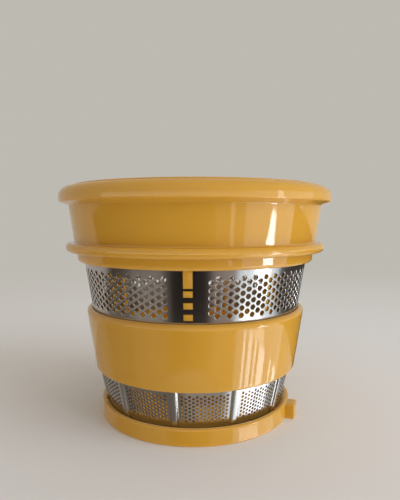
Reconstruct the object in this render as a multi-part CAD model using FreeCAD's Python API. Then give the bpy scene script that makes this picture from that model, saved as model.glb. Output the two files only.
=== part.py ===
import FreeCAD
import Part
import math
import os

# Strainer of a juicer: a tapering cup whose wall is two perforated steel screens.
# The screens are held between three moulded rings, and an inner cage of ribs
# passes through the rings and clamps the stack from inside.
# Millimetres, +Z up, origin on the axis at the underside of the base ring.
# The middle of the front key windows faces -Y, and azimuths turn from there towards +X.

# Heights of the stacked zones, from the table up
base_height = 7.5
base_plate = 3.0
base_ledge_drop = 0.9
lower_open_height = 16.0
band_height = 28.5
upper_open_height = 21.7
lip_height = 4.8
flange_height = 4.2
wall_height = 17.0
rim_side_height = 1.5
rim_height = 7.7
rim_lip_height = 0.7

# Outside radii of the screens where they come out of the rings
lower_screen_bottom_radius = 42.8
lower_screen_top_radius = 46.5
upper_screen_bottom_radius = 50.15
upper_screen_top_radius = 53.6

# Radial sizes of the rings, measured out from the screens or in from the mouth
mouth_radius = 65.0
rim_overhang = 4.45
rim_lip_inset = 5.6
rim_lip_width = 1.6
base_wall = 3.5
base_shelf_width = 5.0
band_bottom_wall = 2.25
band_top_wall = 2.9
lip_wall = 3.0
lip_draft = 0.6
flange_root_step = 1.6
flange_reach = 3.85
collar_wall = 2.4

# How far each screen edge goes into its ring
lower_seat_depth = 3.5
upper_seat_depth = 11.5
collar_seat_depth = 5.0

# Steel sheet
steel = 0.5
bead_count = 11
bead_height = 0.8
bead_top_width = 2.1
bead_flank_width = 0.75
bead_azimuth = -8.2

# Perforation of the lower screen: each column of fine holes is one slit of the same open area
slit_columns = 13
slit_pitch_angle = 2.0
slit_width = 0.5
slit_lift = 2.5
slit_top_margin = 2.3

# Perforation of the upper screen: staggered columns of holes between the key windows
window_sets = 3
columns_per_set = 36
hole_column_gap_angle = 10.25
hole_pitch = 3.05
hole_side = 1.77
hole_row_offset = 3.45
hole_bottom_margin = 1.5

# Key windows of the upper screen, from the tall top one down
window_width = 4.0
window_height = 2.85
window_gap = 1.9
top_window_gap = 0.7
window_count = 3
window_bottom_margin = 1.3

# Inner cage
rib_count = 9
rib_depth = 3.2
rib_width = 3.0
key_rib_width = 5.6
rib_draft = 0.5
cage_ring_wall = 2.2
cage_flange_height = 2.5
cage_ring_skirt = 1.5
floor_thickness = 2.5
foot_height = 5.0
hub_bore_radius = 17.0
hub_wall = 2.2
hub_height = 10.5
outlet_azimuth = 180.0
outlet_width = 22.0
outlet_depth = 10.0
outlet_corner = 2.0

# Key tab on the base ring
tab_azimuth = 73.5
tab_width = 7.5
tab_reach = 4.0
tab_height = 7.0
tab_round = 0.6

# Edge rounding of the moulded rings
edge_round = 0.8
band_round = 2.0
lip_round = 1.8
flange_round = 1.9
rim_round = 4.4
rim_lip_round = 0.5

# Clearance of a conical or keyed fit between two pieces
fit_gap = 0.15

# Radial reach of the cutters past a screen's surface, more than the sheet and its slope
cutter_reach = 4.0

# Levels worked out from the heights
base_ledge = base_height - base_ledge_drop
band_bottom = base_height + lower_open_height
band_top = band_bottom + band_height
collar_bottom = band_top + upper_open_height
flange_bottom = collar_bottom + lip_height
flange_top = flange_bottom + flange_height
wall_top = flange_top + wall_height
rim_side_bottom = wall_top + rim_side_height
rim_shoulder = rim_side_bottom + rim_height - rim_lip_height
rim_top = rim_side_bottom + rim_height
cage_shoulder = collar_bottom + collar_seat_depth
cage_top = cage_shoulder + cage_flange_height
lower_screen_top = band_bottom + lower_seat_depth
upper_screen_bottom = band_top - upper_seat_depth
floor_top = base_plate + floor_thickness
foot_top = base_plate + foot_height
hub_top = base_plate + hub_height

# Rows of holes that the open part of the upper screen has room for
hole_field = upper_open_height - hole_row_offset - hole_side / 2 - hole_bottom_margin
hole_rows = 1 + int(hole_field / hole_pitch)

AXIS = FreeCAD.Vector(0, 0, 1)
ORIGIN = FreeCAD.Vector(0, 0, 0)


def lower_radius(z):
    """Outside radius of the lower screen's panels at height z."""
    slope = (lower_screen_top_radius - lower_screen_bottom_radius) / (band_bottom - base_ledge)
    return lower_screen_bottom_radius + slope * (z - base_ledge)


def upper_radius(z):
    """Outside radius of the upper screen at height z."""
    slope = (upper_screen_top_radius - upper_screen_bottom_radius) / (collar_bottom - band_top)
    return upper_screen_bottom_radius + slope * (z - band_top)


wall_bottom_radius = upper_screen_top_radius + lip_wall + flange_root_step
shelf_inner_radius = lower_radius(base_plate) - base_shelf_width


def corner_arc(before, corner, after, radius):
    """Start, middle and end of the arc that rounds one corner of an outline."""
    to_before = (before - corner).normalize()
    to_after = (after - corner).normalize()
    half = to_before.getAngle(to_after) / 2
    reach = radius / math.tan(half)
    bisector = (to_before + to_after).normalize()
    centre = corner + bisector * (radius / math.sin(half))
    middle = centre - bisector * radius
    return corner + to_before * reach, middle, corner + to_after * reach


def outline(corners):
    """Closed face in the XZ plane from (radius, height, rounding) corners."""
    points = [FreeCAD.Vector(r, 0, z) for r, z, _ in corners]
    edges = []
    first = last = None
    for i, (_, _, rounding) in enumerate(corners):
        if rounding:
            before, after = points[i - 1], points[(i + 1) % len(points)]
            start, middle, end = corner_arc(before, points[i], after, rounding)
        else:
            start = end = points[i]
        if last is None:
            first = start
        else:
            edges.append(Part.LineSegment(last, start).toShape())
        if rounding:
            edges.append(Part.Arc(start, middle, end).toShape())
        last = end
    edges.append(Part.LineSegment(last, first).toShape())
    return Part.Face(Part.Wire(edges))


def turned(corners):
    """Ring made by turning an outline about the axis."""
    return outline(corners).revolve(ORIGIN, AXIS, 360)


def at_azimuth(shape, azimuth):
    """Copy of a shape built along -Y, turned to an azimuth."""
    copy = shape.copy()
    copy.rotate(ORIGIN, AXIS, azimuth)
    return copy


def block(width, reach_from, reach_to, bottom, top):
    """Box centred on the -Y direction, between two distances from the axis."""
    corner = FreeCAD.Vector(-width / 2, -reach_to, bottom)
    return Part.makeBox(width, reach_to - reach_from, top - bottom, corner)


def upper_collar():
    """Mouth of the cup: rolled rim, tapering wall, flange and the lip over the upper screen."""
    lip_radius = upper_screen_top_radius + lip_wall
    flange_radius = wall_bottom_radius + flange_reach
    wall_top_radius = mouth_radius - rim_overhang
    rim_lip_outer = mouth_radius - rim_lip_inset
    rim_lip_inner = rim_lip_outer - rim_lip_width
    inside_bottom = wall_bottom_radius - collar_wall
    return turned([
        (upper_radius(collar_bottom) + fit_gap, collar_bottom, 0),
        (lip_radius, collar_bottom, lip_round),
        (lip_radius + lip_draft, flange_bottom, 0),
        (flange_radius, flange_bottom, flange_round),
        (flange_radius, flange_top, flange_round),
        (wall_bottom_radius, flange_top, 0),
        (wall_top_radius, wall_top, 0),
        (mouth_radius, rim_side_bottom, edge_round),
        (mouth_radius, rim_shoulder, rim_round),
        (rim_lip_outer, rim_shoulder, 0),
        (rim_lip_outer, rim_top, rim_lip_round),
        (rim_lip_inner, rim_top, rim_lip_round),
        (wall_top_radius - collar_wall, wall_top, 0),
        (inside_bottom, flange_top, 0),
        (inside_bottom, cage_shoulder, 0),
        (upper_radius(cage_shoulder) + fit_gap, cage_shoulder, 0),
    ])


def beaded_section(z, inset):
    """Closed section of the lower screen at height z: arcs for the panels, flat-topped beads between."""
    radius = lower_radius(z) - inset
    flank = math.degrees((bead_top_width / 2 + bead_flank_width) / radius)
    crown = math.degrees((bead_top_width / 2) / (radius + bead_height))
    step = 360 / bead_count

    def point(azimuth, r):
        a = math.radians(azimuth - 90)
        return FreeCAD.Vector(r * math.cos(a), r * math.sin(a), z)

    edges = []
    for i in range(bead_count):
        middle = bead_azimuth + i * step
        foot_before = point(middle - flank, radius)
        crown_before = point(middle - crown, radius + bead_height)
        crown_after = point(middle + crown, radius + bead_height)
        foot_after = point(middle + flank, radius)
        next_foot = point(middle + step - flank, radius)
        edges.append(Part.LineSegment(foot_before, crown_before).toShape())
        edges.append(Part.LineSegment(crown_before, crown_after).toShape())
        edges.append(Part.LineSegment(crown_after, foot_after).toShape())
        edges.append(Part.Arc(foot_after, point(middle + step / 2, radius), next_foot).toShape())
    return Part.Wire(edges)


def beaded_cone(bottom, top, inset):
    """Solid cone between two heights with the section of the lower screen."""
    return Part.makeLoft([beaded_section(bottom, inset), beaded_section(top, inset)], True, True)


def middle_band():
    """Plain band between the screens. The lower one's edge stands in a recess that follows its beads."""
    inside_bottom = lower_radius(lower_screen_top) - steel
    band = turned([
        (inside_bottom, band_bottom, 0),
        (lower_screen_top_radius + band_bottom_wall, band_bottom, edge_round),
        (upper_screen_bottom_radius + band_top_wall, band_top, band_round),
        (upper_radius(band_top) + fit_gap, band_top, 0),
        (upper_radius(upper_screen_bottom) + fit_gap, upper_screen_bottom, 0),
        (upper_radius(upper_screen_bottom) - steel, upper_screen_bottom, 0),
        (inside_bottom, lower_screen_top, 0),
    ])
    return band.cut(beaded_cone(base_height, lower_screen_top, -fit_gap))


def base_ring():
    """Foot of the cup: a shelf carries the cage and the lower screen, in a bore that follows its beads."""
    outer = lower_screen_bottom_radius + base_wall
    ring = turned([
        (shelf_inner_radius, 0, 0),
        (outer, 0, edge_round),
        (outer, base_height, edge_round),
        (outer - 2 * edge_round, base_height, 0),
        (lower_screen_bottom_radius, base_ledge, 0),
        (shelf_inner_radius, base_ledge, 0),
    ]).cut(beaded_cone(base_plate, base_height, -fit_gap))
    tab = block(tab_width, outer - base_wall / 2, outer + tab_reach, 0, tab_height)
    outer_edges = [e for e in tab.Edges if e.BoundBox.YMax < -outer]
    return ring.fuse(at_azimuth(tab.makeFillet(tab_round, outer_edges), tab_azimuth)).removeSplitter()


def rib_line(z):
    """Radius of the outer face of a rib: just inside the screens and the band."""
    if z <= lower_screen_top:
        return lower_radius(z) - steel - fit_gap
    if z >= upper_screen_bottom:
        return upper_radius(z) - steel - fit_gap
    low = lower_radius(lower_screen_top)
    high = upper_radius(upper_screen_bottom)
    share = (z - lower_screen_top) / (upper_screen_bottom - lower_screen_top)
    return low + share * (high - low) - steel - fit_gap


def rib(width):
    """Upright rib along the inside of the wall, narrowing inwards."""
    half = width / 2
    tip = half - rib_draft

    def section(z):
        outer = -rib_line(z)
        inner = outer + rib_depth
        corners = [(-half, outer), (half, outer), (tip, inner), (-tip, inner), (-half, outer)]
        return Part.makePolygon([FreeCAD.Vector(x, y, z) for x, y in corners])

    levels = [base_plate, lower_screen_top, upper_screen_bottom, cage_shoulder]
    return Part.makeLoft([section(z) for z in levels], True, True)


def window_levels():
    """Bottom and top of each key window, from the lowest up. The top one runs on under the collar."""
    levels = []
    bottom = band_top + window_bottom_margin
    for _ in range(window_count):
        levels.append((bottom, bottom + window_height))
        bottom += window_height + window_gap
    tall_bottom = levels[-1][1] + top_window_gap
    levels.append((tall_bottom, collar_bottom + collar_seat_depth / 2))
    return levels


def key_lugs():
    """Lugs of one key rib that fill the windows of the upper screen flush with its outside."""
    top, bottom = cage_shoulder, upper_screen_bottom
    skin = turned([
        (upper_radius(bottom) - steel - rib_depth / 2, bottom, 0),
        (upper_radius(bottom), bottom, 0),
        (upper_radius(top), top, 0),
        (upper_radius(top) - steel - rib_depth / 2, top, 0),
    ])
    width = window_width - 2 * fit_gap
    reach = upper_radius(top) + 1
    blocks = [block(width, 0, reach, low + fit_gap, high - fit_gap) for low, high in window_levels()]
    return [skin.common(b) for b in blocks]


def cage_top_ring():
    """Flanged ring that hangs the ribs on the collar's inner shoulder and covers the screen's edge."""
    ring_bottom = collar_bottom - cage_ring_skirt
    flange_outer = wall_bottom_radius - collar_wall - fit_gap
    return turned([
        (rib_line(ring_bottom) - cage_ring_wall, ring_bottom, 0),
        (rib_line(ring_bottom), ring_bottom, 0),
        (rib_line(cage_shoulder), cage_shoulder, 0),
        (flange_outer, cage_shoulder, 0),
        (flange_outer, cage_top, 0),
        (rib_line(cage_shoulder) - cage_ring_wall, cage_top, edge_round),
    ])


def cage_floor():
    """Floor with a hub in the middle and a low wall at its edge, less the pulp outlet."""
    hub_outer = hub_bore_radius + hub_wall
    dish = turned([
        (hub_bore_radius, base_plate, 0),
        (rib_line(base_plate), base_plate, 0),
        (rib_line(foot_top), foot_top, 0),
        (rib_line(foot_top) - cage_ring_wall, foot_top, edge_round),
        (rib_line(floor_top) - cage_ring_wall, floor_top, 0),
        (hub_outer, floor_top, 0),
        (hub_outer, hub_top, edge_round),
        (hub_bore_radius, hub_top, 0),
    ])
    outlet = block(outlet_width, shelf_inner_radius - outlet_depth, shelf_inner_radius, 0, foot_top)
    upright = [e for e in outlet.Edges if e.BoundBox.ZLength > floor_thickness]
    return dish.cut(at_azimuth(outlet.makeFillet(outlet_corner, upright), outlet_azimuth))


def inner_cage():
    """Cage of ribs between a flanged top ring and a floor with a hub."""
    pieces = [cage_floor()]
    for i in range(rib_count):
        azimuth = i * 360 / rib_count
        keyed = i % (rib_count // window_sets) == 0
        pieces.append(at_azimuth(rib(key_rib_width if keyed else rib_width), azimuth))
        if keyed:
            pieces += [at_azimuth(lug, azimuth) for lug in key_lugs()]
    return cage_top_ring().fuse(pieces).removeSplitter()


def hole_levels(count):
    """Middle heights of the holes of one column."""
    top = collar_bottom - hole_row_offset
    shift = 0 if count == hole_rows else hole_pitch / 2
    return [top - shift - i * hole_pitch for i in range(count)]


def sheet_hole(azimuth, width, bottom, top, radius):
    """Cutter through a screen, with its sides in planes through the axis."""
    angle = math.degrees(width / radius)
    cutter = outline([
        (radius - cutter_reach, bottom, 0),
        (radius + cutter_reach, bottom, 0),
        (radius + cutter_reach, top, 0),
        (radius - cutter_reach, top, 0),
    ]).revolve(ORIGIN, AXIS, angle)
    return at_azimuth(cutter, azimuth - 90 - angle / 2)


def upper_screen():
    """Cone of perforated sheet with sets of key windows."""
    top, bottom = cage_shoulder, upper_screen_bottom
    sheet = turned([
        (upper_radius(bottom) - steel, bottom, 0),
        (upper_radius(bottom), bottom, 0),
        (upper_radius(top), top, 0),
        (upper_radius(top) - steel, top, 0),
    ])
    set_angle = 360 / window_sets
    column_angle = (set_angle - 2 * hole_column_gap_angle) / (columns_per_set - 1)
    cutters = []
    for s in range(window_sets):
        start = s * set_angle
        for low, high in window_levels():
            cutters.append(sheet_hole(start, window_width, low, high, upper_radius(low)))
        for c in range(columns_per_set):
            azimuth = start + hole_column_gap_angle + c * column_angle
            for z in hole_levels(hole_rows - 1 + c % 2):
                low, high = z - hole_side / 2, z + hole_side / 2
                cutters.append(sheet_hole(azimuth, hole_side, low, high, upper_radius(z)))
    return sheet.cut(cutters)


def lower_screen():
    """Cone of fine perforated sheet, stiffened by raised upright beads."""
    top, bottom = lower_screen_top, base_plate
    sheet = beaded_cone(bottom, top, 0).cut(beaded_cone(bottom, top, steel))
    step = 360 / bead_count
    low = base_height + slit_lift
    high = band_bottom - slit_top_margin
    cutters = []
    for i in range(bead_count):
        middle = bead_azimuth + (i + 0.5) * step
        for c in range(slit_columns):
            azimuth = middle + (c - (slit_columns - 1) / 2) * slit_pitch_angle
            cutters.append(sheet_hole(azimuth, slit_width, low, high, lower_radius(low)))
    return sheet.cut(cutters)


PIECES = {
    "upper_collar": upper_collar,
    "upper_screen": upper_screen,
    "middle_band": middle_band,
    "lower_screen": lower_screen,
    "base_ring": base_ring,
    "inner_cage": inner_cage,
}

os.makedirs("parts", exist_ok=True)
for name, make in PIECES.items():
    solid = make()
    solid.exportStep(f"parts/{name}.step")
    print(name, "solids", len(solid.Solids), "valid", solid.isValid(), "volume", round(solid.Volume, 1))
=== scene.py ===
import bmesh
import bpy
import math
import numpy as np
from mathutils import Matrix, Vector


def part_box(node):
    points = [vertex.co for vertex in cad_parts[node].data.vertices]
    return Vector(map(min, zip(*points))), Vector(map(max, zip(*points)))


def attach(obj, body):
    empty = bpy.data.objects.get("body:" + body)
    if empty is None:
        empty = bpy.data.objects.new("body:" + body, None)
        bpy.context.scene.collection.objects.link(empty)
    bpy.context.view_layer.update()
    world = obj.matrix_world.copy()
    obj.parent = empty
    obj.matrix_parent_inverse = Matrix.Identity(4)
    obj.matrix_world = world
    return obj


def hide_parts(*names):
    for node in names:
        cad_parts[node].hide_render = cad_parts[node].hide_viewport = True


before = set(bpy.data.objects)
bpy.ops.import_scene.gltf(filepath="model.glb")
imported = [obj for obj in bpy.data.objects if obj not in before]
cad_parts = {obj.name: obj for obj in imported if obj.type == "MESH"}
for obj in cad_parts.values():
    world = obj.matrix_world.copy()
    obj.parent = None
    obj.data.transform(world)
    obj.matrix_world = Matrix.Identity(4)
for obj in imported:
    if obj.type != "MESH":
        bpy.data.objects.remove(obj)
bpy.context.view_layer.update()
scene = bpy.context.scene
scene.view_settings.view_transform = "Standard"
mm = 0.001  # sizes below are in millimetres, as a maker would write them
fullTurn = 2 * math.pi
print("frame loaded:", sorted(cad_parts))


# sRGB hex to linear: each channel through the sRGB curve
def linearColour(hexText):
    raw = np.array([int(hexText[i:i + 2], 16) for i in (1, 3, 5)]) / 255
    lit = np.where(raw <= 0.04045, raw / 12.92, ((raw + 0.055) / 1.055) ** 2.4)
    return (*lit.tolist(), 1.0)


# Adds one node, with its settings and with values or links on its inputs
def addNode(tree, kind, inputs=None, **settings):
    node = tree.nodes.new(kind)
    for key, value in settings.items():
        setattr(node, key, value)
    for key, value in (inputs or {}).items():
        if isinstance(value, bpy.types.NodeSocket):
            tree.links.new(value, node.inputs[key])
        else:
            node.inputs[key].default_value = value
    return node


# Material with an empty node tree
def newMaterial(name):
    material = bpy.data.materials.new(name)
    material.use_nodes = True
    tree = material.node_tree
    tree.nodes.clear()
    return material, tree


# Moulded polyetherimide: a dense amber plastic with a high gloss from the polished mould.
# The eye sees a warm yellow body, deeper in slow drifts of the melt, under a sharp clear reflection.
amberLook = {
    "body": "#DAA63E",
    "deep": "#CE9A33",
    "ior": 1.62,
    "roughness": 0.07,
    "drift": 45.0,       # mm, size of a slow change of tone in the melt
    "peel": 6.0,         # mm, faint waviness of the polished mould
    "peelDepth": 0.012,  # mm
    "peelStrength": 0.35,
    "glow": 0.4,         # share of the light that travels inside
    "glowDepth": 2.0,    # mm that it travels
    "glowReach": (1.0, 0.65, 0.25),  # how far red, green and blue get
}


def amberPlastic():
    look = amberLook
    material, tree = newMaterial("mouldedAmberPolyetherimide")
    place = addNode(tree, "ShaderNodeTexCoord").outputs["Object"]
    drift = addNode(tree, "ShaderNodeTexNoise", {
        "Vector": place, "Scale": 1 / (look["drift"] * mm), "Detail": 2.0, "Roughness": 0.4})
    tone = addNode(tree, "ShaderNodeMix", {
        "Factor": drift.outputs["Fac"],
        "A": linearColour(look["deep"]), "B": linearColour(look["body"])}, data_type="RGBA")
    peel = addNode(tree, "ShaderNodeTexNoise", {
        "Vector": place, "Scale": 1 / (look["peel"] * mm), "Detail": 1.0})
    bump = addNode(tree, "ShaderNodeBump", {
        "Height": peel.outputs["Fac"], "Strength": look["peelStrength"],
        "Distance": look["peelDepth"] * mm})
    shader = addNode(tree, "ShaderNodeBsdfPrincipled", {
        "Base Color": tone.outputs["Result"], "Roughness": look["roughness"], "IOR": look["ior"],
        "Subsurface Weight": look["glow"], "Subsurface Scale": look["glowDepth"] * mm,
        "Subsurface Radius": look["glowReach"], "Normal": bump.outputs["Normal"]})
    addNode(tree, "ShaderNodeOutputMaterial", {"Surface": shader.outputs["BSDF"]})
    return material


# Rolled stainless sheet, satin: a cold grey metal whose rolling lines run round the cup and draw each
# reflection out a little up and down. The sheared walls of its punched holes are dull and rough, and
# their darker tone is partly painted shade in the holes. The inner skin gets a share of that darker tone
# as painted shade inside the cup, and a share of the roughness.
steelLook = {
    "sheet": "#C0BDB9",
    # darker tone of the sheared walls: dull steel, and partly painted shade in the holes
    "shearedAndShaded": "#6F6860",
    "shearedRough": 0.5,
    # the inner skin takes this share of the sheared walls' darker tone, as painted shade inside the cup,
    # and of their roughness
    "innerDullAndShade": 0.4,  # share of the sheared look on the inner skin
    "grainHeight": 0.25,  # mm across the rolling lines, coarser than real ones so that they show
    "grainRun": 25.0,     # mm along them
    "grainDepth": 0.004,  # mm
    "grainStrength": 0.1,
    "roughLow": 0.15,     # between the rolling lines
    "roughHigh": 0.22,    # on them
}


def rolledSteel():
    look = steelLook
    material, tree = newMaterial("rolledStainlessSheet")
    place = addNode(tree, "ShaderNodeTexCoord").outputs["Object"]
    along, across = 1 / (look["grainRun"] * mm), 1 / (look["grainHeight"] * mm)
    stretched = addNode(tree, "ShaderNodeMapping", {"Vector": place, "Scale": (along, along, across)})
    grain = addNode(tree, "ShaderNodeTexNoise", {
        "Vector": stretched.outputs["Vector"], "Scale": 1.0, "Detail": 2.0})
    rolled = addNode(tree, "ShaderNodeMapRange", {
        "Value": grain.outputs["Fac"], "To Min": look["roughLow"], "To Max": look["roughHigh"]})
    # the mark draws the tone towards the darker sheared tone, which is partly painted shade, and the
    # roughness towards the sheared roughness
    dullAndShade = addNode(tree, "ShaderNodeAttribute", attribute_name="dullAndShaded").outputs["Fac"]
    tone = addNode(tree, "ShaderNodeMix", {
        "Factor": dullAndShade,
        "A": linearColour(look["sheet"]), "B": linearColour(look["shearedAndShaded"])}, data_type="RGBA")
    rough = addNode(tree, "ShaderNodeMapRange", {
        "Value": dullAndShade, "To Min": rolled.outputs["Result"], "To Max": look["shearedRough"]})
    bump = addNode(tree, "ShaderNodeBump", {
        "Height": grain.outputs["Fac"], "Strength": look["grainStrength"],
        "Distance": look["grainDepth"] * mm})
    shader = addNode(tree, "ShaderNodeBsdfPrincipled", {
        "Base Color": tone.outputs["Result"], "Metallic": 1.0,
        "Roughness": rough.outputs["Result"], "Normal": bump.outputs["Normal"]})
    addNode(tree, "ShaderNodeOutputMaterial", {"Surface": shader.outputs["BSDF"]})
    return material


amber = amberPlastic()
steel = rolledSteel()
print("materials made")


# Lowest and highest level of a CAD node, in millimetres
def span(node):
    low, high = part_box(node)
    return low[2] / mm, high[2] / mm


collarBottom, collarTop = span("upper_collar")
bandBottom, bandTop = span("middle_band")
baseTop = span("base_ring")[1]
upperBottom, upperTop = span("upper_screen")
lowerBottom, lowerTop = span("lower_screen")
cageTop = span("inner_cage")[1]
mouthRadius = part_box("upper_collar")[1][0] / mm
sheetThickness = 0.5
fitGap = 0.15     # clearance between a screen or rib and the ring that holds it
ledgeDrop = 0.9   # the base ring's ledge lies this far below its top
sameLevel = 0.01  # heights closer than this are one level

# Cones of the two screens, by the outside radius at two heights
upperCone = {"low": bandTop, "lowRadius": 50.15, "high": collarBottom, "highRadius": 53.6}
lowerCone = {"low": baseTop - ledgeDrop, "lowRadius": 42.8, "high": bandBottom, "highRadius": 46.5}


# Outside radius of a cone at a height: it changes evenly from the low radius to the high one
def coneRadius(cone, z):
    slope = (cone["highRadius"] - cone["lowRadius"]) / (cone["high"] - cone["low"])
    return cone["lowRadius"] + slope * (z - cone["low"])


# Upright beads pressed into the lower screen, and the panels between them
beads = {"count": 11, "azimuth": -8.2, "height": 0.8, "top": 2.1, "flank": 0.75, "flankSteps": 9}
panelAngle = fullTurn / beads["count"]
firstBead = math.radians(beads["azimuth"])
lowerMiddle = coneRadius(lowerCone, (lowerCone["low"] + lowerCone["high"]) / 2)
beadHalfTop = beads["top"] / 2 / lowerMiddle
beadFoot = (beads["top"] / 2 + beads["flank"]) / lowerMiddle


# Height of a bead over the sheet at an azimuth: a smooth rise from its foot to its flat top
def beadRise(a):
    off = np.abs((a - firstBead + panelAngle / 2) % panelAngle - panelAngle / 2)
    rise = np.clip((beadFoot - off) / (beadFoot - beadHalfTop), 0, 1)
    return beads["height"] * rise * rise * (3 - 2 * rise)


# Azimuths all round that are close together on the beads' flanks and wide apart on the panels
def beadAzimuths(panelSteps):
    flank = np.linspace(beadHalfTop, beadFoot, beads["flankSteps"])
    panel = np.linspace(beadFoot, panelAngle - beadFoot, panelSteps + 2)[1:-1]
    once = np.concatenate([[0.0], flank, panel, panelAngle - flank[::-1]])
    return (firstBead + panelAngle * np.arange(beads["count"])[:, None] + once).ravel()


# Azimuths all round at equal steps
def evenAzimuths(count):
    return np.linspace(0, fullTurn, count, endpoint=False)


# Vectors divided by their own lengths
def unit(vectors):
    return vectors / np.linalg.norm(vectors, axis=-1, keepdims=True)


# Closed outline from (radius, height, rounding) corners. A rounded corner is the arc tangent to both
# its sides, swept evenly from one touching point to the other. Each straight run gets a point close
# to both its ends, which keeps its shading flat up to the rounding.
def roundedOutline(corners, arcSteps=9, hold=0.35):
    points = np.array([corner[:2] for corner in corners], float)
    roundings = np.array([corner[2] for corner in corners], float)
    back = unit(np.roll(points, 1, 0) - points)
    ahead = unit(np.roll(points, -1, 0) - points)
    half = np.arccos(np.clip((back * ahead).sum(1), -1, 1)) / 2
    reach = roundings / np.tan(half)
    centres = points + unit(back + ahead) * (roundings / np.sin(half))[:, None]
    starts, ends = points + back * reach[:, None], points + ahead * reach[:, None]
    run = []
    for i, rounding in enumerate(roundings):
        if rounding:
            sweep = math.pi - 2 * half[i]
            t = np.linspace(0, 1, arcSteps)[:, None]
            fromStart, fromEnd = np.sin((1 - t) * sweep), np.sin(t * sweep)
            arms = fromStart * (starts[i] - centres[i]) + fromEnd * (ends[i] - centres[i])
            run.append(centres[i] + arms / math.sin(sweep))
        else:
            run.append(points[i:i + 1])
        after = starts[(i + 1) % len(points)]
        length = np.linalg.norm(after - ends[i])
        if length > 4 * hold:
            t = np.array([hold / length, 1 - hold / length])[:, None]
            run.append(ends[i] + t * (after - ends[i]))
    return np.concatenate(run)


# Ring turned about the axis: the outline's point (radius, height) at azimuth a stands at
# (radius sin a, -radius cos a, height). Azimuth 0 is the front, and azimuths run towards +X.
# Where follow is 1, the radius grows with the beads.
def turnedRing(outline, azimuths, follow=None):
    r = np.broadcast_to(outline[:, 0], (len(azimuths), len(outline)))
    if follow is not None:
        r = r + np.outer(beadRise(azimuths), follow)
    a, z = azimuths[:, None], np.broadcast_to(outline[:, 1], r.shape)
    points = np.stack([r * np.sin(a), -r * np.cos(a), z], -1)
    index = np.arange(r.size).reshape(r.shape)
    beside = np.roll(index, -1, 0)
    quads = np.stack([index, beside, np.roll(beside, -1, 1), np.roll(index, -1, 1)], -1)
    return points.reshape(-1, 3), quads.reshape(-1, 4)


# Closed bar through rings of points: quads between neighbouring rings, and each end closed by
# a strip that joins the ring's points in pairs from both sides
def closedBar(rings):
    count = rings.shape[1]
    index = np.arange(rings.shape[0] * count).reshape(rings.shape[:2])
    beside = np.roll(index, -1, 1)
    sides = np.stack([index[:-1], beside[:-1], beside[1:], index[1:]], -1).reshape(-1, 4)
    i = np.arange(count // 2 - 1)
    strip = np.stack([i, count - 1 - i, count - 2 - i, i + 1], -1)
    ends = np.concatenate([index[0][strip], index[-1][strip[:, ::-1]]])
    return rings.reshape(-1, 3), np.concatenate([sides, ends])


# Point at a distance out from the axis at an azimuth, moved sideways and set at a height
def outwardFrame(azimuth, out, sideways, height):
    outward = np.array([math.sin(azimuth), -math.cos(azimuth), 0])
    aside = np.array([math.cos(azimuth), math.sin(azimuth), 0])
    upward = np.array([0, 0, 1.0])
    return out[..., None] * outward + sideways[..., None] * aside + height[..., None] * upward


# Mesh of points in millimetres and faces of point numbers
def meshFrom(name, points, faces):
    mesh = bpy.data.meshes.new(name)
    mesh.from_pydata((points * mm).tolist(), [], faces.tolist())
    return mesh


# Cuts closed shells from a body and adds others, so that the moulding has one skin with no walls inside
# it. Edges shorter than the sliver are dissolved.
def joinedMesh(name, body, added, cut=(), sliver=0.001):
    helpers = []
    for i, (points, faces) in enumerate([body, *cut, *added]):
        helper = bpy.data.objects.new(name + str(i), meshFrom(name, points, faces))
        scene.collection.objects.link(helper)
        helpers.append(helper)
    for i, other in enumerate(helpers[1:]):
        joint = helpers[0].modifiers.new("joint", "BOOLEAN")
        joint.operation = "DIFFERENCE" if i < len(cut) else "UNION"
        joint.solver = "MANIFOLD"
        joint.object = other
    bpy.context.view_layer.update()
    whole = helpers[0].evaluated_get(bpy.context.evaluated_depsgraph_get())
    mesh = bpy.data.meshes.new_from_object(whole)
    for helper in helpers:
        bpy.data.meshes.remove(helper.data)
    skin = bmesh.new()
    skin.from_mesh(mesh)
    bmesh.ops.dissolve_degenerate(skin, dist=sliver * mm, edges=skin.edges)
    skin.to_mesh(mesh)
    skin.free()
    return mesh


# Mesh object at the origin that stands for a CAD node
def makePiece(name, node, material, mesh, sharpAngle=38):
    mesh.name = name
    mesh.materials.clear()
    mesh.materials.append(material)
    mesh.shade_smooth()
    mesh.set_sharp_from_angle(angle=math.radians(sharpAngle))
    piece = bpy.data.objects.new(name, mesh)
    scene.collection.objects.link(piece)
    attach(piece, "root")
    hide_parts(node)
    print(name, "vertices", len(mesh.vertices), "faces", len(mesh.polygons))


collar = {
    "lipHeight": 4.8, "lipWall": 3.0, "lipDraft": 0.6, "lipRound": 1.8,
    "flangeHeight": 4.2, "flangeReach": 3.85, "flangeRound": 1.9, "flangeRootStep": 1.6,
    "wallHeight": 17.0, "wall": 2.4, "seat": 5.0,
    "rimSide": 1.5, "rimOverhang": 4.45, "rimRound": 4.4,
    "rimLipHeight": 0.7, "rimLipInset": 5.6, "rimLipWidth": 1.6, "rimLipRound": 0.5,
    "rimLipRoot": 0.15, "edge": 0.8, "root": 0.5, "mouthRound": 1.5, "lipEdge": 0.3, "segments": 320,
}
cageShoulder = collarBottom + collar["seat"]
wallBottomRadius = upperCone["highRadius"] + collar["lipWall"] + collar["flangeRootStep"]


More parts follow.
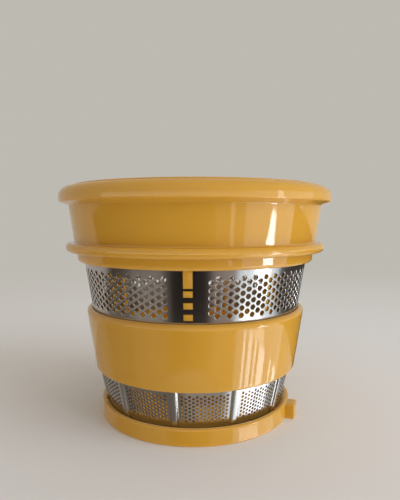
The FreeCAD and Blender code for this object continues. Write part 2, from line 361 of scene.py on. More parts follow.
# Collar: lip, flange, tapering wall and rolled rim as one closed outline, turned about the axis
def makeCollar():
    c = collar
    lipRadius = upperCone["highRadius"] + c["lipWall"]
    flangeBottom = collarBottom + c["lipHeight"]
    flangeTop = flangeBottom + c["flangeHeight"]
    flangeRadius = wallBottomRadius + c["flangeReach"]
    wallTop = flangeTop + c["wallHeight"]
    wallTopRadius = mouthRadius - c["rimOverhang"]
    rimShoulder = collarTop - c["rimLipHeight"]
    rimLipOuter = mouthRadius - c["rimLipInset"]
    outline = roundedOutline([
        (coneRadius(upperCone, collarBottom) + fitGap, collarBottom, c["lipEdge"]),
        (lipRadius, collarBottom, c["lipRound"]),
        (lipRadius + c["lipDraft"], flangeBottom, c["root"]),
        (flangeRadius, flangeBottom, c["flangeRound"]),
        (flangeRadius, flangeTop, c["flangeRound"]),
        (wallBottomRadius, flangeTop, c["root"]),
        (wallTopRadius, wallTop, c["root"]),
        (mouthRadius, wallTop + c["rimSide"], c["edge"]),
        (mouthRadius, rimShoulder, c["rimRound"]),
        (rimLipOuter, rimShoulder, c["rimLipRoot"]),
        (rimLipOuter, collarTop, c["rimLipRound"]),
        (rimLipOuter - c["rimLipWidth"], collarTop, c["rimLipRound"]),
        (wallTopRadius - c["wall"], wallTop, c["mouthRound"]),
        (wallBottomRadius - c["wall"], flangeTop, c["mouthRound"]),
        (wallBottomRadius - c["wall"], cageShoulder, 0.0),
        (coneRadius(upperCone, cageShoulder) + fitGap, cageShoulder, 0.0),
    ])
    mesh = meshFrom("upperCollar", *turnedRing(outline, evenAzimuths(c["segments"])))
    makePiece("upperCollar", "upper_collar", amber, mesh)


band = {
    "bottomWall": 2.25, "topWall": 2.9, "topRound": 2.0, "bottomRound": 1.0,
    "boreRound": 0.4, "landRound": 0.3, "panelSteps": 14,
}


# Band: a closed outline turned about the axis, with a seat for each screen
def makeBand():
    b = band
    bore = coneRadius(lowerCone, bandBottom) + fitGap
    seatBore = coneRadius(lowerCone, lowerTop) + fitGap
    land = coneRadius(lowerCone, lowerTop) - sheetThickness
    bottomRadius = lowerCone["highRadius"] + b["bottomWall"]
    outline = roundedOutline([
        (bore, bandBottom, 0.0),
        (bottomRadius, bandBottom, b["bottomRound"]),
        (upperCone["lowRadius"] + b["topWall"], bandTop, b["topRound"]),
        (coneRadius(upperCone, bandTop) + fitGap, bandTop, b["boreRound"]),
        (coneRadius(upperCone, upperBottom) + fitGap, upperBottom, 0.0),
        (coneRadius(upperCone, upperBottom) - sheetThickness, upperBottom, b["landRound"]),
        (land, lowerTop, 0.0),
        (seatBore, lowerTop, 0.0),
    ])
    r, z = outline.T
    # the recess follows the beads, and its rim and floor give way to it
    flatEnd = bottomRadius - b["bottomRound"]
    lowest = z <= bandBottom + sameLevel
    rim = np.interp(r, [land, seatBore], [0, 1]) * ~lowest
    foot = np.interp(r, [bore, flatEnd], [1, 0]) * lowest
    follow = (rim + foot) * (z <= lowerTop + sameLevel) * (r < flatEnd)
    mesh = meshFrom("middleBand", *turnedRing(outline, beadAzimuths(b["panelSteps"]), follow))
    makePiece("middleBand", "middle_band", amber, mesh)


base = {
    "wall": 3.5, "shelfWidth": 5.0, "edge": 0.8, "innerRound": 0.3, "shelfRound": 0.2, "panelSteps": 14,
    "tabAzimuth": 73.5, "tabWidth": 7.5, "tabReach": 4.0, "tabHeight": 7.0, "tabRound": 0.7,
    "tabRoot": 2.0, "tabRoundSteps": 7, "tabHold": 0.3,
}
baseRadius = lowerCone["lowRadius"] + base["wall"]
shelfRadius = coneRadius(lowerCone, lowerBottom) - base["shelfWidth"]


# Rounded oblong between two sides and two levels, as an outline
def oblongOutline(left, right, low, high, rounding, **steps):
    corners = [(left, low), (right, low), (right, high), (left, high)]
    return roundedOutline([(*corner, rounding) for corner in corners], **steps)


# Key tab: a rounded oblong of width and height, carried outwards along the radius and drawn in at its
# end by a quarter round
def keyTab():
    b = base
    half, top, rounding = b["tabWidth"] / 2, b["tabHeight"], b["tabRound"]
    section = oblongOutline(-half, half, 0.0, top, rounding,
                            arcSteps=b["tabRoundSteps"], hold=b["tabHold"])
    turn = np.linspace(0, math.pi / 2, b["tabRoundSteps"])
    inset = np.concatenate([[0.0], rounding * (1 - np.cos(turn))])
    tip = baseRadius + b["tabReach"]
    out = np.concatenate([[baseRadius - b["tabRoot"]], tip - rounding * (1 - np.sin(turn))])
    middle, halfSpan = np.array([0.0, top / 2]), np.array([half, top / 2])
    rings = middle + (section - middle) * (1 - inset[:, None, None] / halfSpan)
    out = np.broadcast_to(out[:, None], rings.shape[:2])
    return closedBar(outwardFrame(math.radians(b["tabAzimuth"]), out, rings[..., 0], rings[..., 1]))


# Base ring: a closed outline turned about the axis, with a shelf for the cage and the lower screen
def makeBase():
    b = base
    ledge, ledgeOuter = lowerCone["low"], baseRadius - 2 * b["edge"]
    bore = coneRadius(lowerCone, ledge) + fitGap
    seatBore = coneRadius(lowerCone, lowerBottom) + fitGap
    outline = roundedOutline([
        (shelfRadius, 0.0, b["innerRound"]),
        (baseRadius, 0.0, b["edge"]),
        (baseRadius, baseTop, b["edge"]),
        (ledgeOuter, baseTop, b["innerRound"]),
        (bore, ledge, 0.0),
        (seatBore, lowerBottom, 0.0),
        (shelfRadius, lowerBottom, b["shelfRound"]),
    ])
    r, z = outline.T
    # the bore follows the beads, and the ledge and the shelf give way to it
    turns = [shelfRadius, seatBore, bore, ledgeOuter - b["innerRound"]]
    follow = np.interp(r, turns, [0, 1, 1, 0]) * (z > lowerBottom - sameLevel)
    ring = turnedRing(outline, beadAzimuths(b["panelSteps"]), follow)
    mesh = joinedMesh("baseRing", ring, [keyTab()])
    makePiece("baseRing", "base_ring", amber, mesh)


# Cells of a perforated sheet in (azimuth, height, depth), one at each crossing of the azimuths and
# heights: rings of quads from the square border of the cell to the round edge of its hole. s runs from
# 0 to 8 round the cell, 2 for each side. The border's points are spaced evenly along each side, so that
# cells half a pitch higher in the next column share them.
def holeCells(azimuths, heights, step, sheet, radius):
    a, z = (grid.ravel() for grid in np.meshgrid(azimuths, heights))
    centres = np.stack([a, z, 0 * a], -1)
    s = np.arange(sheet["ringSteps"]) * 8 / sheet["ringSteps"]
    across = np.clip(np.abs(s % 8 - 4) - 2, -1, 1)
    along = np.clip(np.abs((s - 2) % 8 - 4) - 2, -1, 1)
    turn = s * math.pi / 4
    rings = [np.stack([across * step / 2, along * sheet["pitch"] / 2, 0 * s], -1)]
    circle = np.stack([np.cos(turn) / radius, np.sin(turn), 0 * s], -1)
    for grow, drop in sheet["rim"]:
        rings.append(circle * (sheet["holeRadius"] + grow) + np.array([0, 0, drop]))
    points = centres[:, None, None, :] + np.stack(rings)
    index = np.arange(points[..., 0].size).reshape(points.shape[:3])
    beside = np.roll(index, -1, 2)
    quads = np.stack([index[:, :-1], beside[:, :-1], beside[:, 1:], index[:, 1:]], -1)
    return points.reshape(-1, 3), quads.reshape(-1, 4)


# Upright grid lines of one column of cells, through the points of the cells' borders
def columnLines(azimuth, step, sheet):
    return azimuth + step / 2 * np.linspace(-1, 1, sheet["ringSteps"] // 4 + 1)


# Plain patch in (azimuth, height, depth) on a grid of lines, less the quads that keep leaves out.
# Heights may be one list or one row for each azimuth.
def plainPatch(azimuths, heights, keep=None):
    heights = np.broadcast_to(heights, (len(azimuths), np.shape(heights)[-1]))
    points = np.stack([np.broadcast_to(azimuths[:, None], heights.shape), heights, 0 * heights], -1)
    index = np.arange(heights.size).reshape(heights.shape)
    quads = np.stack([index[:-1, :-1], index[1:, :-1], index[1:, 1:], index[:-1, 1:]], -1)
    return points.reshape(-1, 3), quads[np.ones(quads.shape[:2], bool) if keep is None else keep]


# Joins patches into one flat sheet: points that round to equal keys become one, also where the sheet
# closes after a full turn
def weldPatches(patches, keysPerRadian=1e5, keysPerMillimetre=1e3):
    starts = np.cumsum([0] + [len(points) for points, _ in patches[:-1]])
    points = np.concatenate([points for points, _ in patches])
    faces = np.concatenate([faces + start for (_, faces), start in zip(patches, starts)])
    wrapped = np.column_stack([points[:, 0] % fullTurn, points[:, 1:]])
    key = np.round(wrapped * [keysPerRadian, keysPerMillimetre, keysPerMillimetre]).astype(int)
    key[:, 0] %= round(fullTurn * keysPerRadian)
    _, first, same = np.unique(key, axis=0, return_index=True, return_inverse=True)
    faces = same.reshape(-1)[faces]
    used, compact = np.unique(faces, return_inverse=True)
    return points[first][used], compact.reshape(faces.shape)


# Rolls a flat sheet into its cone and gives it its thickness: the radius is the cone's at that height
# plus any bead, less the depth. The inner skin lies one thickness deeper, and a wall closes every open
# edge. The mesh marks for the material how dull and how darkly shaded each face is: the darker tone is
# painted shade in the holes and inside the cup.
def rolledSheet(name, flat, faces, cone, rise=0.0):
    a, z, depth = flat.T
    skins = []
    for skin in (0.0, sheetThickness):
        r = coneRadius(cone, z) + rise - depth - skin
        skins.append(np.stack([r * np.sin(a), -r * np.cos(a), z], -1))
    edges = np.concatenate([faces[:, [i, (i + 1) % 4]] for i in range(4)])
    _, same, uses = np.unique(np.sort(edges, 1), axis=0, return_inverse=True, return_counts=True)
    start, end = edges[uses[same.reshape(-1)] == 1].T
    inner = len(flat)
    walls = np.stack([end, start, start + inner, end + inner], -1)
    allFaces = np.concatenate([faces, faces[:, ::-1] + inner, walls])
    mesh = meshFrom(name, np.concatenate(skins), allFaces)
    # sheared walls: dull steel whose darker tone is partly painted shade in the holes; inner skin: a
    # share of that tone as painted shade inside the cup
    dullAndShaded = [0.0, steelLook["innerDullAndShade"], 1.0]  # outside, inside, sheared edges
    mark = mesh.attributes.new("dullAndShaded", "FLOAT", "FACE")
    mark.data.foreach_set("value", np.repeat(dullAndShaded, [len(faces), len(faces), len(walls)]))
    return mesh


upperSheet = {
    "holeRadius": 1.04, "ringSteps": 16, "edgeGap": 0.05,
    "rim": [(0.2, 0.0), (0.0, 0.13)],  # rings of a hole's edge, each wider and deeper by so much
    "rows": 6, "pitch": 3.05, "topRow": 3.45, "sets": 3, "columns": 36, "gapAngle": 10.25,
    "windowWidth": 4.0, "windowHeight": 2.85, "windowGap": 1.9, "topWindowGap": 0.7, "windowCount": 3,
    "windowMargin": 1.3, "windowLines": 7, "sideLines": 9, "sharpAngle": 28,
}


# Bottom and top of each key window, from the lowest up. The top one runs on under the collar.
def windowBounds():
    u = upperSheet
    step = u["windowHeight"] + u["windowGap"]
    bottoms = bandTop + u["windowMargin"] + step * np.arange(u["windowCount"])
    tallBottom = bottoms[-1] + u["windowHeight"] + u["topWindowGap"]
    lows = np.append(bottoms, tallBottom)
    highs = np.append(bottoms + u["windowHeight"], collarBottom + collar["seat"] / 2)
    return np.stack([lows, highs], -1)


# Upper screen: in each set, columns of hole cells with plain strips above and below them, and a plain
# patch that holds the key windows
def makeUpperSheet():
    u = upperSheet
    p = u["pitch"]
    low, high = upperBottom + u["edgeGap"], upperTop - u["edgeGap"]
    middleRadius = coneRadius(upperCone, (bandTop + collarBottom) / 2)
    setAngle = fullTurn / u["sets"]
    gap = math.radians(u["gapAngle"])
    step = (setAngle - 2 * gap) / (u["columns"] - 1)
    topRow = collarBottom - u["topRow"]
    fieldTop, fieldBottom = topRow + p / 2, topRow - (u["rows"] - 0.5) * p
    bounds = windowBounds()
    tallTop = bounds[-1, 1]
    patches = []
    columns = gap + step * np.arange(u["columns"])
    quarters = np.linspace(fieldBottom, fieldTop, u["rows"] * 4 + 1)  # four steps to each pitch
    for k in range(u["sets"]):
        start = k * setAngle
        # columns of one hole fewer come first, half a pitch lower, and then take turns
        for count, which in ((u["rows"] - 1, columns[0::2]), (u["rows"], columns[1::2])):
            lower = 0 if count == u["rows"] else p / 2
            heights = topRow - lower - p * np.arange(count)
            patches.append(holeCells(which + start, heights, step, u, middleRadius))
            for azimuth in which + start:
                lines = columnLines(azimuth, step, u)
                if lower:
                    patches.append(plainPatch(lines, quarters[:3]))
                    patches.append(plainPatch(lines, quarters[-3:]))
                patches.append(plainPatch(lines, np.array([low, fieldBottom])))
                patches.append(plainPatch(lines, np.array([fieldTop, tallTop, high])))
        # around the key windows the grid lines bend to the windows' edges
        edge = gap - step / 2
        halfWindow = u["windowWidth"] / 2 / middleRadius
        side = np.linspace(edge, halfWindow, u["sideLines"])
        over = np.linspace(-halfWindow, halfWindow, u["windowLines"])[1:-1]
        lines = np.concatenate([-side, over, side[::-1]])
        levels = np.concatenate([[low], quarters, [tallTop, high]])
        bent = levels.copy()
        nearest = np.abs(levels[:, None] - bounds.ravel()).argmin(0)
        bent[nearest] = bounds.ravel()
        share = np.clip((edge - np.abs(lines)) / (edge - halfWindow), 0, 1)[:, None]
        heights = levels + share * (bent - levels)
        middles = (bent[:-1] + bent[1:]) / 2
        inWindow = ((middles[:, None] > bounds[:, 0]) & (middles[:, None] < bounds[:, 1])).any(1)
        inside = np.abs((lines[:-1] + lines[1:]) / 2) < halfWindow
        patches.append(plainPatch(lines + start, heights, ~(inside[:, None] & inWindow[None])))
    mesh = rolledSheet("upperScreen", *weldPatches(patches), upperCone)
    makePiece("upperScreen", "upper_screen", steel, mesh, u["sharpAngle"])


lowerSheet = {
    "holeRadius": 0.6, "ringSteps": 16, "edgeGap": 0.05, "rim": [(0.0, 0.0)],
    "rows": 7, "pitch": 1.7, "topRow": 2.4, "columns": 13, "columnAngle": 2.0,
    "marginLines": 4, "sharpAngle": 60,
}


# Lower screen: in each panel, columns of hole cells that take turns half a pitch lower, and a plain
# patch over the bead beside it
def makeLowerSheet():
    w = lowerSheet
    p = w["pitch"]
    low, high = lowerBottom + w["edgeGap"], lowerTop - w["edgeGap"]
    step = math.radians(w["columnAngle"])
    topRow = bandBottom - w["topRow"]
    fieldTop, fieldBottom = topRow + p / 2, topRow - w["rows"] * p
    quarters = np.linspace(fieldBottom, fieldTop, w["rows"] * 4 + 3)  # four steps to each pitch
    levels = np.concatenate([[low], quarters, [high]])
    halfField = step * w["columns"] / 2
    across = step * (np.arange(w["columns"]) - (w["columns"] - 1) / 2)
    patches = []
    for k in range(beads["count"]):
        centre = firstBead + (k + 0.5) * panelAngle
        for lower, which in ((0.0, across[0::2]), (p / 2, across[1::2])):
            heights = topRow - lower - p * np.arange(w["rows"])
            patches.append(holeCells(which + centre, heights, step, w, lowerMiddle))
            for azimuth in which + centre:
                lines = columnLines(azimuth, step, w)
                patches.append(plainPatch(lines, quarters[-3:] if lower else quarters[:3]))
                patches.append(plainPatch(lines, np.array([low, fieldBottom])))
                patches.append(plainPatch(lines, np.array([fieldTop, high])))
        ahead = np.linspace(halfField, panelAngle / 2 - beadFoot, w["marginLines"])[:-1]
        flank = panelAngle / 2 - np.linspace(beadFoot, beadHalfTop, beads["flankSteps"])
        rise = np.concatenate([ahead, flank, [panelAngle / 2]])
        lines = np.concatenate([rise, panelAngle - rise[:-1][::-1]])
        patches.append(plainPatch(lines + centre, levels))
    flat, faces = weldPatches(patches)
    mesh = rolledSheet("lowerScreen", flat, faces, lowerCone, beadRise(flat[:, 0]))
    makePiece("lowerScreen", "lower_screen", steel, mesh, w["sharpAngle"])


cage = {
    "ribs": 9, "ribWidth": 3.0, "keyRibWidth": 5.6, "ribDepth": 3.2, "ribDraft": 0.5, "ribRound": 0.8,
    "ringWall": 2.2, "ringSkirt": 1.5, "skirtRound": 0.2, "floor": 2.5, "foot": 5.0, "footRound": 0.3,
    "hubBore": 17.0, "hubWall": 2.2, "hubHeight": 10.5, "boreRound": 0.4, "edge": 0.8, "root": 1.0,
    "outletWidth": 22.0, "outletDepth": 10.0, "outletCorner": 2.0, "lugRound": 0.25, "lugDepth": 2.0,
    "ribRoundSteps": 6, "lugRoundSteps": 5, "outletRoundSteps": 7, "hold": 0.3, "segments": 240,
}


# Radius of the ribs' outer face at a height: just inside the screens and the band
def ribLine(z):
    levels = [lowerBottom, lowerTop, upperBottom, cageShoulder]
    cones = (lowerCone, lowerCone, upperCone, upperCone)
    radii = [coneRadius(cone, level) for cone, level in zip(cones, levels)]
    return np.interp(z, levels, radii) - sheetThickness - fitGap


# Upright rib: a section that narrows inwards with rounded inner corners, carried up along the wall
def cageRib(azimuth, width):
    c = cage
    half, tip = width / 2, width / 2 - c["ribDraft"]
    depth, rounding = c["ribDepth"], c["ribRound"]
    section = roundedOutline([
        (half, 0.0, 0.0), (tip, depth, rounding), (-tip, depth, rounding), (-half, 0.0, 0.0)],
        c["ribRoundSteps"], c["hold"])
    foot, shoulder = lowerBottom + c["floor"] / 2, cageShoulder - c["root"]
    z = np.array([foot, lowerTop, upperBottom, shoulder, cageShoulder])
    shrink = np.array([1, 1, 1, 1, c["ringWall"] / depth])[:, None]
    out = np.sqrt(ribLine(z) ** 2 - half ** 2)[:, None] - section[:, 1] * shrink
    sideways = np.broadcast_to(section[:, 0], out.shape)
    return closedBar(outwardFrame(azimuth, out, sideways, np.broadcast_to(z[:, None], out.shape)))


# Lug that fills a key window: a rounded oblong carried outwards, flush with the screen's outside
def windowLug(azimuth, low, high):
    c = cage
    half, rounding = upperSheet["windowWidth"] / 2 - fitGap, c["lugRound"]
    section = oblongOutline(-half, half, low + fitGap, high - fitGap, rounding,
                            arcSteps=c["lugRoundSteps"], hold=c["hold"])
    sunk = np.array([c["lugDepth"], rounding / 2, 0.0])[:, None]
    inset = np.array([0.0, 0.0, rounding / 2])[:, None]
    middle, halfRise = (low + high) / 2, (high - low) / 2
    sideways = section[:, 0] * (1 - inset / half)
    height = middle + (section[:, 1] - middle) * (1 - inset / halfRise)
    return closedBar(outwardFrame(azimuth, coneRadius(upperCone, height) - sunk, sideways, height))


# Pulp outlet through the floor at the back: a rounded oblong carried up from the foot to a height
def pulpOutlet(top):
    c = cage
    half = c["outletWidth"] / 2
    oblong = oblongOutline(-half, half, shelfRadius - c["outletDepth"], shelfRadius, c["outletCorner"],
                           arcSteps=c["outletRoundSteps"])
    level = np.broadcast_to(np.array([[0.0], [top]]), (2, len(oblong)))
    x, y = (np.broadcast_to(column, level.shape) for column in oblong.T)
    return closedBar(np.stack([x, y, level], -1))


# Cage: a turned dish with the hub and a turned top ring, joined by the ribs, with lugs on the key ribs
def makeCage():
    c = cage
    floorTop, footTop, hubTop = (lowerBottom + c[key] for key in ("floor", "foot", "hubHeight"))
    hubOuter = c["hubBore"] + c["hubWall"]
    dish = turnedRing(roundedOutline([
        (c["hubBore"], lowerBottom, c["footRound"]),
        (ribLine(lowerBottom), lowerBottom, 0.0),
        (ribLine(footTop), footTop, c["footRound"]),
        (ribLine(footTop) - c["ringWall"], footTop, c["edge"]),
        (ribLine(floorTop) - c["ringWall"], floorTop, c["root"]),
        (hubOuter, floorTop, c["root"]),
        (hubOuter, hubTop, c["edge"]),
        (c["hubBore"], hubTop, c["boreRound"]),
    ]), evenAzimuths(c["segments"]))
    ringBottom = collarBottom - c["ringSkirt"]
    flangeOuter = wallBottomRadius - collar["wall"] - fitGap
    ring = turnedRing(roundedOutline([
        (ribLine(ringBottom) - c["ringWall"], ringBottom, c["boreRound"]),
        (ribLine(ringBottom), ringBottom, c["skirtRound"]),
        (ribLine(cageShoulder), cageShoulder, 0.0),
        (flangeOuter, cageShoulder, 0.0),
        (flangeOuter, cageTop, c["skirtRound"]),
        (ribLine(cageShoulder) - c["ringWall"], cageTop, c["edge"]),
    ]), evenAzimuths(c["segments"]))
    shells = [ring]
    for i in range(c["ribs"]):
        azimuth = i * fullTurn / c["ribs"]
        keyed = i % (c["ribs"] // upperSheet["sets"]) == 0
        shells.append(cageRib(azimuth, c["keyRibWidth"] if keyed else c["ribWidth"]))
        if keyed:
            shells += [windowLug(azimuth, low, high) for low, high in windowBounds()]
    mesh = joinedMesh("innerCage", dish, shells, [pulpOutlet(footTop)])
    makePiece("innerCage", "inner_cage", amber, mesh)


makeCollar()
makeBand()
makeBase()
makeUpperSheet()
makeLowerSheet()
makeCage()
print("pieces made")


stageLook = {
    "table": "#E6E5E4", "backdrop": "#BDBAB2", "tableSize": 6000.0,
    "fadeFrom": 120.0, "fadeTo": 750.0,  # mm from the middle, where the table turns into the backdrop
    "fill": "#D6D0C7", "fillStrength": 0.63, "fillFrom": (0.58, 0.0, 0.81), "fillSlant": 0.5,
    "bounceLeft": 0.05, "bounceRight": 0.62, "bounceReach": 120.0,
}


# 1 for rays that look straight, by reflection or through glass, and 0 for light that only fills in
def seenDirectly(tree):
    path = addNode(tree, "ShaderNodeLightPath").outputs
    seen = addNode(tree, "ShaderNodeMath", {
        0: path["Is Camera Ray"], 1: path["Is Glossy Ray"]}, operation="ADD")
    seen = addNode(tree, "ShaderNodeMath", {
        0: seen.outputs[0], 1: path["Is Transmission Ray"]}, operation="ADD", use_clamp=True)
    return seen.outputs[0]


# Pale laminate table top: matt and off-white. Far from the object it turns into the backdrop's colour.
def makeTable():
    look = stageLook
    material, tree = newMaterial("paleLaminateTable")
    place = addNode(tree, "ShaderNodeTexCoord").outputs["Object"]
    shader = addNode(tree, "ShaderNodeBsdfPrincipled", {
        "Base Color": linearColour(look["table"]), "Specular IOR Level": 0.0})
    away = addNode(tree, "ShaderNodeVectorMath", {0: place}, operation="LENGTH")
    fade = addNode(tree, "ShaderNodeMapRange", {
        "Value": away.outputs["Value"], "From Min": look["fadeFrom"] * mm,
        "From Max": look["fadeTo"] * mm}, interpolation_type="SMOOTHSTEP")
    backdrop = addNode(tree, "ShaderNodeEmission", {
        "Color": linearColour(look["backdrop"]), "Strength": 1.0})
    seen = addNode(tree, "ShaderNodeMixShader", {
        0: fade.outputs["Result"], 1: shader.outputs["BSDF"], 2: backdrop.outputs["Emission"]})
    # light that the table throws up at the object, more on the side of the key lamp
    sideways = addNode(tree, "ShaderNodeSeparateXYZ", {"Vector": place}).outputs["X"]
    reach = look["bounceReach"] * mm
    thrown = addNode(tree, "ShaderNodeMapRange", {
        "Value": sideways, "From Min": -reach, "From Max": reach,
        "To Min": look["bounceLeft"], "To Max": look["bounceRight"]}, interpolation_type="SMOOTHSTEP")
    bounce = addNode(tree, "ShaderNodeEmission", {
        "Color": linearColour(look["table"]), "Strength": thrown.outputs["Result"]})
    unseen = addNode(tree, "ShaderNodeAddShader", {
        0: shader.outputs["BSDF"], 1: bounce.outputs["Emission"]})
    mix = addNode(tree, "ShaderNodeMixShader", {
        0: seenDirectly(tree), 1: unseen.outputs[0], 2: seen.outputs[0]})
    addNode(tree, "ShaderNodeOutputMaterial", {"Surface": mix.outputs[0]})
    half = look["tableSize"] / 2 * mm
    mesh = bpy.data.meshes.new("tableTop")
    corners = [(-half, -half, 0), (half, -half, 0), (half, half, 0), (-half, half, 0)]
    mesh.from_pydata(corners, [], [(0, 1, 2, 3)])
    mesh.materials.append(material)
    table = bpy.data.objects.new("tableTop", mesh)
    table.visible_glossy = False  # reflections look past it to the cards
    scene.collection.objects.link(table)


# Pale surroundings: what the camera and the reflections see is the backdrop's colour. The light that
# fills in has its mean strength plus the slant times the direction's dot product with the bright side.
def makeWorld():
    look = stageLook
    world = bpy.data.worlds.new("paleSurroundings")
    world.use_nodes = True
    tree = world.node_tree
    tree.nodes.clear()
    direction = addNode(tree, "ShaderNodeTexCoord").outputs["Generated"]
    facing = addNode(tree, "ShaderNodeVectorMath", {
        0: direction, 1: look["fillFrom"]}, operation="DOT_PRODUCT")
    strength = addNode(tree, "ShaderNodeMath", {
        0: facing.outputs["Value"], 1: look["fillSlant"], 2: look["fillStrength"]},
        operation="MULTIPLY_ADD")
    fill = addNode(tree, "ShaderNodeBackground", {
        "Color": linearColour(look["fill"]), "Strength": strength.outputs[0]})
    backdrop = addNode(tree, "ShaderNodeBackground", {
        "Color": linearColour(look["backdrop"]), "Strength": 1.0})
    mix = addNode(tree, "ShaderNodeMixShader", {
        0: seenDirectly(tree), 1: fill.outputs[0], 2: backdrop.outputs[0]})
    addNode(tree, "ShaderNodeOutputWorld", {"Surface": mix.outputs[0]})
    scene.world = world


cardDistance, cardColumns = 1500.0, 49


# Row of a card that stands far off, at an elevation in degrees as seen from the object:
# (radius, height, from azimuth, to azimuth), with the height from the tangent of the elevation
def farRow(elevation, fromAzimuth, toAzimuth, away=cardDistance):
    return away, away * math.tan(math.radians(elevation)), fromAzimuth, toAzimuth


# Upright card between two azimuths and two elevations. Where cards overlap, the nearer one shows.
def standing(fromAzimuth, toAzimuth, low, high, away=cardDistance):
    return [farRow(low, fromAzimuth, toAzimuth, away), farRow(high, fromAzimuth, toAzimuth, away)]


# Studio cards that show only in reflections. The dark ones give the metal its contrast, and the bright
# ones its cold streaks. The lowest ones show in the lower screen and in views from above. A card with no
# strength has a strength of 1.
cards = {
    "leftShade": {"shapes": [standing(-175, -30, -36, -5, 1560)], "tone": "#A0978D"},
    "sideCard": {"shapes": [[farRow(-17.5, -172, -108), farRow(-14.5, -172, -100),
                             farRow(-12.7, -172, -88.6), farRow(-7.6, -172, -93.7),
                             farRow(-4, -172, -96)]], "tone": "#BDB6AE"},
    "horizonCard": {"shapes": [standing(-72, 46, -4, 7)], "tone": "#FFF4E4", "strength": 1.8},
    "leftFlag": {"shapes": [standing(-106, -23, -17, -4.5, 1520)], "tone": "#40362D"},
    "leftCard": {"shapes": [standing(-104, -66, -36, -17, 1520)], "tone": "#7D756D"},
    "frontFlagEdge": {"shapes": [standing(-30, 21, -34, -7, 1520)], "tone": "#6A615C"},
    "frontFlag": {"shapes": [standing(-23, 17, -34, -7)], "tone": "#160F0C"},
    "warmCard": {"shapes": [standing(15, 46, -36, -5, 1540)], "tone": "#A5938C"},
    "slitCard": {"shapes": [standing(33, 36.5, -16.5, -8)], "tone": "#FFF6EA", "strength": 1.6},
    "coldCard": {"shapes": [standing(46, 108, -56, 12, 1520)], "tone": "#E9F3FA", "strength": 1.35},
    "wallStrip": {"shapes": [[farRow(-17, 67, 81), farRow(-12.5, 67.5, 78), farRow(-10, 69.5, 76),
                              farRow(-7, 71, 75.5)]], "tone": "#FBFBFF", "strength": 14.0},
    "rimStrip": {"shapes": [standing(68.5, 73.5, -4, 16)], "tone": "#FFFCFA", "strength": 4.0},
    "bandStrips": {"shapes": [standing(a, b, -40, -26.5) for a, b in
                              ((55, 57.5), (62, 66), (69.5, 72), (75.5, 84), (93, 95), (100, 104))],
                   "tone": "#FBFBFF", "strength": 5.6},
    "baseStrip": {"shapes": [standing(54, 80, -26.4, -24)], "tone": "#FFFCFA", "strength": 3.5},
    "rightCard": {"shapes": [standing(108, 165, -56, 12, 1520)], "tone": "#C4C2BA"},
    "backFlag": {"shapes": [standing(96, 165, -20.0, -3.0)], "tone": "#4A433D"},
    "floorCard": {"shapes": [standing(-180, 180, -88, -58, 1580)], "tone": "#E6E5E4", "strength": 0.75},
    "lowFlag": {"shapes": [standing(-172, -12, -58, -36, 1560)], "tone": "#7A736B"},
    "lowFront": {"shapes": [standing(-12, 46, -58, -36, 1560)], "tone": "#ABA49C"},
    "lowCold": {"shapes": [standing(52, 130, -58, -40)], "tone": "#EEF5FA", "strength": 1.6},
}


# Each row of a card is an arc round the axis, and neighbouring rows are joined by quads
def makeCards():
    for name, card in cards.items():
        material, tree = newMaterial(name)
        glow = addNode(tree, "ShaderNodeEmission", {
            "Color": linearColour(card["tone"]), "Strength": card.get("strength", 1.0)})
        addNode(tree, "ShaderNodeOutputMaterial", {"Surface": glow.outputs["Emission"]})
        for i, rows in enumerate(card["shapes"]):
            r, z, fromAzimuth, toAzimuth = np.array(rows, float).T[:, :, None]
            a = np.radians(fromAzimuth + (toAzimuth - fromAzimuth) * np.linspace(0, 1, cardColumns))
            points = np.stack([r * np.sin(a), -r * np.cos(a), np.broadcast_to(z, a.shape)], -1)
            index = np.arange(a.size).reshape(a.shape)
            quads = np.stack([index[:-1, :-1], index[:-1, 1:], index[1:, 1:], index[1:, :-1]], -1)
            mesh = meshFrom(name, points.reshape(-1, 3), quads.reshape(-1, 4))
            mesh.materials.append(material)
            sheet = bpy.data.objects.new(name + str(i), mesh)
            for ray in ("camera", "diffuse", "shadow", "transmission"):
                setattr(sheet, "visible_" + ray, False)
            scene.collection.objects.link(sheet)


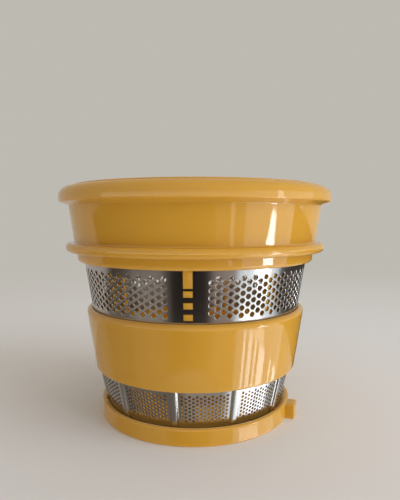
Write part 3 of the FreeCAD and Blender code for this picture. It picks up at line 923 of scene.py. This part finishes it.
# The key stands beside the object, and the narrow light shines down into the cup
lamps = {
    "softKey": {"kind": "AREA", "azimuth": 66.0, "distance": 1400.0, "height": 750.0, "size": 1200.0,
                "spread": 180.0, "power": 12.0, "tone": "#E8F1FF"},
    "insideLight": {"kind": "SPOT", "azimuth": 0.0, "distance": 10.0, "height": 1100.0, "size": 20.0,
                    "spread": 5.4, "power": 16.0, "tone": "#FFFAF4"},
}


# Lamps on the side of the object named by their azimuth, turned to its middle
def makeLamps():
    for name, lamp in lamps.items():
        data = bpy.data.lights.new(name, lamp["kind"])
        size, spread = lamp["size"] * mm, math.radians(lamp["spread"])
        if lamp["kind"] == "AREA":
            data.size, data.spread = size, spread
        else:
            data.shadow_soft_size, data.spot_size = size, spread
        data.energy = lamp["power"]
        data.color = linearColour(lamp["tone"])[:3]
        a, out = math.radians(lamp["azimuth"]), lamp["distance"]
        place = np.array([math.sin(a) * out, -math.cos(a) * out, lamp["height"]])
        aim = np.array([0, 0, collarTop / 2]) - place
        tilt = math.atan2(aim[2], math.hypot(aim[0], aim[1]))
        lampObject = bpy.data.objects.new(name, data)
        lampObject.location = place * mm
        lampObject.rotation_euler = (math.pi / 2 + tilt, 0, math.atan2(aim[1], aim[0]) - math.pi / 2)
        lampObject.visible_glossy = False  # the cards show in the steel instead
        scene.collection.objects.link(lampObject)


# The photograph's view: distance, height and downward tilt come from the ellipses of the rings
photoCamera = {
    "azimuth": 3.2, "distance": 226.8, "height": 93.3, "tilt": 3.85, "aside": 0.59,
    "focal": 455.5, "frameHeight": 500.0,  # both in pixels of the photograph
    "sensor": 36.0, "clipStart": 10.0,
}


# Camera at an azimuth, a distance and a height, turned to the axis, then aside and down
def makeCamera():
    c = photoCamera
    data = bpy.data.cameras.new("photoCamera")
    data.sensor_width = c["sensor"]
    data.lens = c["focal"] / c["frameHeight"] * c["sensor"]
    data.clip_start = c["clipStart"] * mm
    camera = bpy.data.objects.new("photoCamera", data)
    a, out = math.radians(c["azimuth"]), c["distance"]
    camera.location = np.array([math.sin(a) * out, -math.cos(a) * out, c["height"]]) * mm
    camera.rotation_euler = (math.radians(90 - c["tilt"]), 0, a - math.radians(c["aside"]))
    scene.collection.objects.link(camera)
    scene.camera = camera


makeTable()
makeWorld()
makeCards()
makeLamps()
makeCamera()
print("stage, lamps and camera made")
